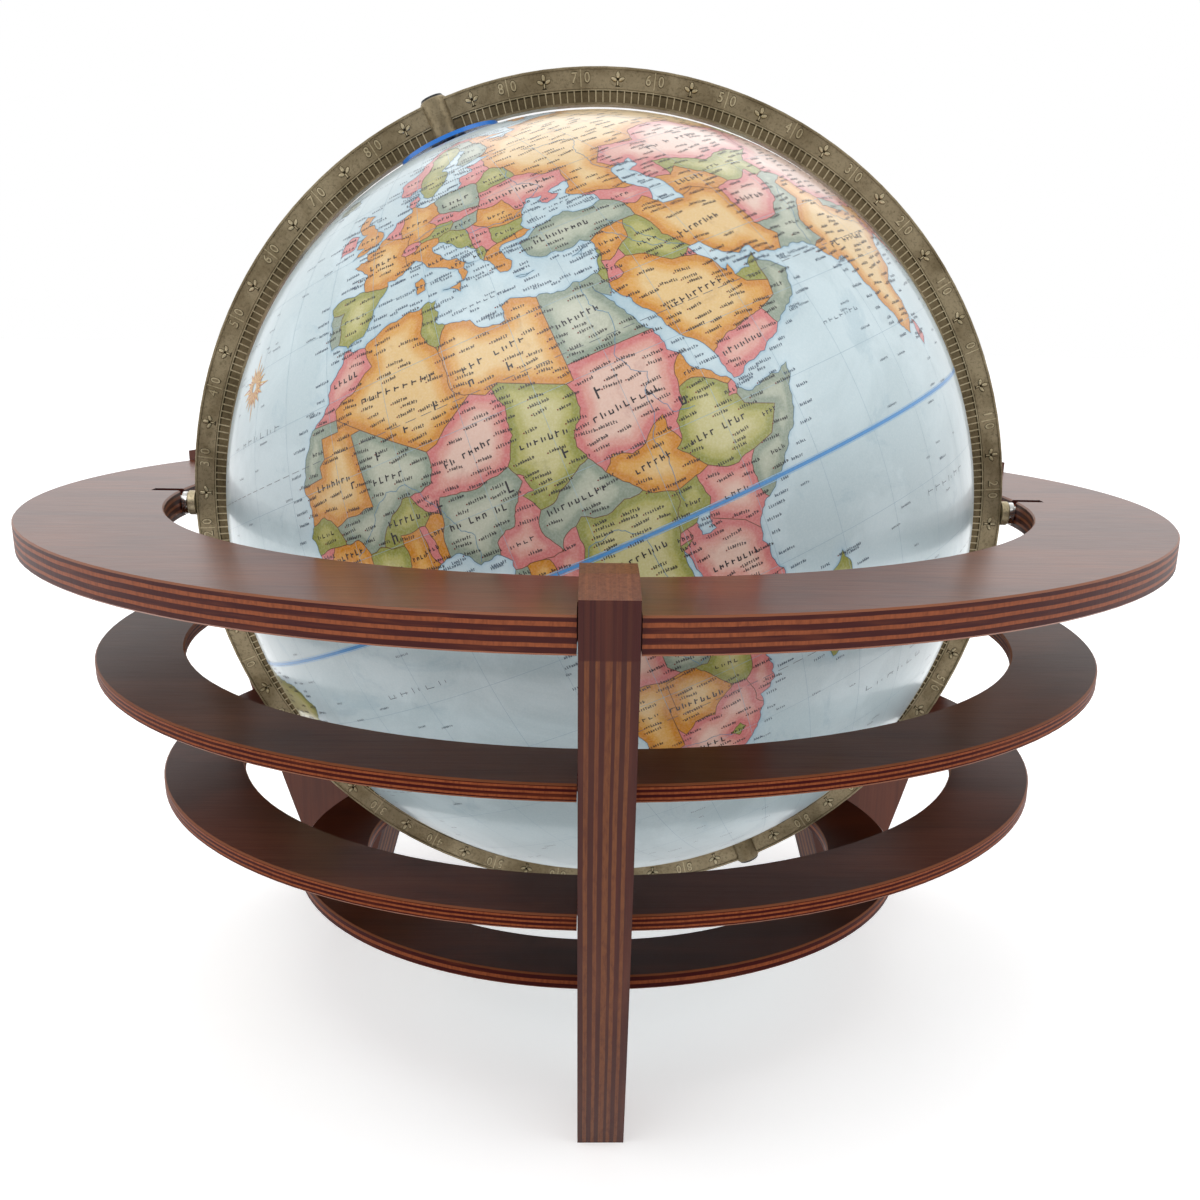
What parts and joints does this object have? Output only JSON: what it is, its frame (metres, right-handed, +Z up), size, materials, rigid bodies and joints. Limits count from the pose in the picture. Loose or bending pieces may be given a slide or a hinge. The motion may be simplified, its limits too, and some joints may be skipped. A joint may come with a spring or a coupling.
{
  "type": "desktop globe on stand",
  "caption": "Terrestrial globe on a tilted polar axis in a full brass meridian ring, hung from the top ring of a slotted plywood stand of stepped rings and radial legs.",
  "frame": {"origin": "on the table, straight below the globe's centre", "axes": "+Z up, X along the swing axis through both side pivots, front leg towards -Y"},
  "size_m": [0.456, 0.4574, 0.3726],
  "materials": {
    "ply": "stained plywood, satin lacquer",
    "ply_edge": "stained plywood showing its layers, satin lacquer",
    "antique_brass": "antiqued, satin",
    "black_plastic": "matte",
    "steel": "bright",
    "map_board": "printed map paper under gloss varnish",
    "inner_board": "plain board",
    "white_plastic": "satin",
    "blue_plastic": "gloss"
  },
  "bodies": {
    "stand": {"horizon_ring": "ply", "middle_ring": "ply", "lower_ring": "ply", "base_ring": "ply", "leg_front": "ply_edge", "leg_rear_right": "ply_edge", "leg_rear_left": "ply_edge"},
    "meridian": {"meridian_ring": "antique_brass", "north_plug": "black_plastic", "south_plug": "black_plastic", "north_pin": "steel", "south_pin": "steel", "pivot_pin_left": "steel", "pivot_pin_right": "steel", "pivot_collar_left": "antique_brass", "pivot_collar_right": "antique_brass", "pivot_washer_left": "steel", "pivot_washer_right": "steel"},
    "globe": {"northern_hemisphere": "map_board", "southern_hemisphere": "map_board", "equator_band": "inner_board", "north_bush": "white_plastic", "south_bush": "white_plastic"},
    "dial": {"hour_dial": "blue_plastic"}
  },
  "joints": [
    {"name": "meridian_swing", "type": "hinge", "parent": "stand", "child": "meridian", "pos_m": [0, 0, 0.203], "axis": [1, 0, 0], "continuous": true},
    {"name": "globe_spin", "type": "hinge", "parent": "meridian", "child": "globe", "pos_m": [0, 0, 0.203], "axis": [-0.3987, 0.048, 0.9158], "continuous": true},
    {"name": "hour_dial_turn", "type": "hinge", "parent": "globe", "child": "dial", "pos_m": [0, 0, 0.203], "axis": [-0.3987, 0.048, 0.9158], "continuous": true}
  ]
}
